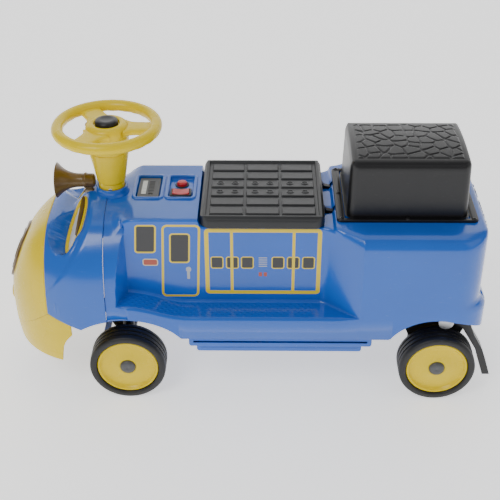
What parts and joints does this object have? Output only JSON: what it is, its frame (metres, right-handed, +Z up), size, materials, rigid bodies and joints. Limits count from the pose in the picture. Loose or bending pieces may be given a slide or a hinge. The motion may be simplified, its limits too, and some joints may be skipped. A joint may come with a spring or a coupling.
{
  "type": "ride-on toy train",
  "caption": "Moulded-plastic battery ride-on train for a toddler, with a steering wheel, lifting seat, dash switches, footboards, nose with lamps, tender box and steered front wheels.",
  "frame": {"origin": "on the ground, under the middle of the overall length and width", "axes": "+X forward, +Y to the train's left, +Z up"},
  "size_m": [0.92, 0.306, 0.5095],
  "materials": {
    "body_blue": "glossy moulded plastic, mid blue",
    "trim_yellow": "glossy moulded plastic, bright yellow",
    "black_plastic": "satin black moulded plastic with fine grain",
    "seat_black": "satin black moulded plastic, ribbed panels",
    "tyre_black": "hard black plastic tyre",
    "cap_grey": "dark grey satin plastic",
    "horn_bronze": "bronze-brown plastic with a soft shine",
    "switch_red": "red translucent plastic",
    "lens_white": "white glossy plastic",
    "gear_white": "natural white acetal",
    "steel": "zinc-plated steel"
  },
  "bodies": {
    "body": {"main_body_shell": "body_blue", "nose_shell": "body_blue", "front_mask": "trim_yellow", "front_bumper": "trim_yellow", "nose_plate": "horn_bronze", "coupling_knob": "trim_yellow", "lamp_bezel_left": "trim_yellow", "lamp_bezel_right": "trim_yellow", "lamp_lens_left": "lens_white", "lamp_lens_right": "lens_white", "lamp_hood_left": "horn_bronze", "lamp_hood_right": "horn_bronze", "column_collar": "body_blue", "front_axle_beam": "black_plastic", "kingpin_left": "steel", "kingpin_right": "steel", "trumpet_horn": "horn_bronze", "sound_panel": "cap_grey", "switch_bezel": "black_plastic", "speaker": "black_plastic", "seat_hinge_pin": "steel", "storage_bin": "black_plastic", "tender_box": "black_plastic", "flange_screw_1": "black_plastic", "flange_screw_2": "black_plastic", "flange_screw_3": "black_plastic", "flange_screw_4": "black_plastic", "rear_frame": "black_plastic", "motor": "steel", "gearbox_housing": "black_plastic", "battery_tray": "black_plastic", "battery": "cap_grey"},
    "steering": {"steering_wheel": "trim_yellow", "column_cone": "trim_yellow", "column_sleeve": "trim_yellow", "column_screw": "steel", "steering_shaft": "steel"},
    "horn": {"horn_button": "cap_grey"},
    "tie_rod": {"tie_rod": "black_plastic"},
    "knuckle_left": {"knuckle_left": "black_plastic"},
    "knuckle_right": {"knuckle_right": "black_plastic"},
    "front_wheel_left": {"front_tyre_left": "tyre_black", "front_disc_left": "trim_yellow", "front_hub_cap_left": "cap_grey"},
    "front_wheel_right": {"front_tyre_right": "tyre_black", "front_disc_right": "trim_yellow", "front_hub_cap_right": "cap_grey"},
    "rear_wheels": {"rear_axle": "steel", "axle_gear": "gear_white", "rear_tyre_left": "tyre_black", "rear_tyre_right": "tyre_black", "rear_disc_left": "trim_yellow", "rear_disc_right": "trim_yellow", "rear_hub_cap_left": "cap_grey", "rear_hub_cap_right": "cap_grey"},
    "idler": {"idler_gear": "gear_white"},
    "pinion": {"motor_pinion": "steel"},
    "seat": {"seat_lid": "seat_black"},
    "rocker": {"rocker_switch": "switch_red"},
    "push": {"push_button": "switch_red"}
  },
  "joints": [
    {"name": "steering", "type": "hinge", "parent": "body", "child": "steering", "pos_m": [0.248, 0, 0.495], "axis": [0, 0, 1], "range_deg": [-45, 45]},
    {"name": "horn_press", "type": "slide", "parent": "steering", "child": "horn", "axis": [0, 0, -1], "range_m": [0, 0.003], "stiffness_N_per_m": 400},
    {"name": "tie_rod_slide", "type": "slide", "parent": "body", "child": "tie_rod", "axis": [0, 1, 0], "range_m": [-0.0195, 0.0195]},
    {"name": "knuckle_left", "type": "hinge", "parent": "body", "child": "knuckle_left", "pos_m": [0.224, 0.088, 0.071], "axis": [0, 0, 1], "range_deg": [-23, 23]},
    {"name": "knuckle_right", "type": "hinge", "parent": "body", "child": "knuckle_right", "pos_m": [0.224, -0.088, 0.071], "axis": [0, 0, 1], "range_deg": [-23, 23]},
    {"name": "front_wheel_left", "type": "hinge", "parent": "knuckle_left", "child": "front_wheel_left", "pos_m": [0.224, 0.128, 0.071], "axis": [0, 1, 0], "continuous": true},
    {"name": "front_wheel_right", "type": "hinge", "parent": "knuckle_right", "child": "front_wheel_right", "pos_m": [0.224, -0.128, 0.071], "axis": [0, 1, 0], "continuous": true},
    {"name": "rear_wheels", "type": "hinge", "parent": "body", "child": "rear_wheels", "pos_m": [-0.351, 0, 0.071], "axis": [0, 1, 0], "continuous": true},
    {"name": "idler_gear", "type": "hinge", "parent": "body", "child": "idler", "pos_m": [-0.35476, 0.065, 0.12086], "axis": [0, 1, 0], "continuous": true},
    {"name": "motor_shaft", "type": "hinge", "parent": "body", "child": "pinion", "pos_m": [-0.363, 0.072, 0.16], "axis": [0, 1, 0], "continuous": true},
    {"name": "seat_lid", "type": "hinge", "parent": "body", "child": "seat", "pos_m": [-0.146, 0, 0.346], "axis": [0, -1, 0], "range_deg": [0, 60]},
    {"name": "rocker_switch", "type": "hinge", "parent": "body", "child": "rocker", "pos_m": [0.123, 0.005, 0.3644], "axis": [0, 1, 0], "range_deg": [-8, 8]},
    {"name": "push_button", "type": "slide", "parent": "body", "child": "push", "axis": [0, 0, -1], "range_m": [0, 0.0025], "stiffness_N_per_m": 400}
  ],
  "couplings": [
    {"joint": "tie_rod_slide", "follows": "steering", "m_per_rad": 0.024},
    {"joint": "knuckle_left", "follows": "steering", "ratio": 0.5},
    {"joint": "knuckle_right", "follows": "steering", "ratio": 0.5},
    {"joint": "idler_gear", "follows": "rear_wheels", "ratio": -3.1667},
    {"joint": "motor_shaft", "follows": "rear_wheels", "ratio": 10.907}
  ]
}
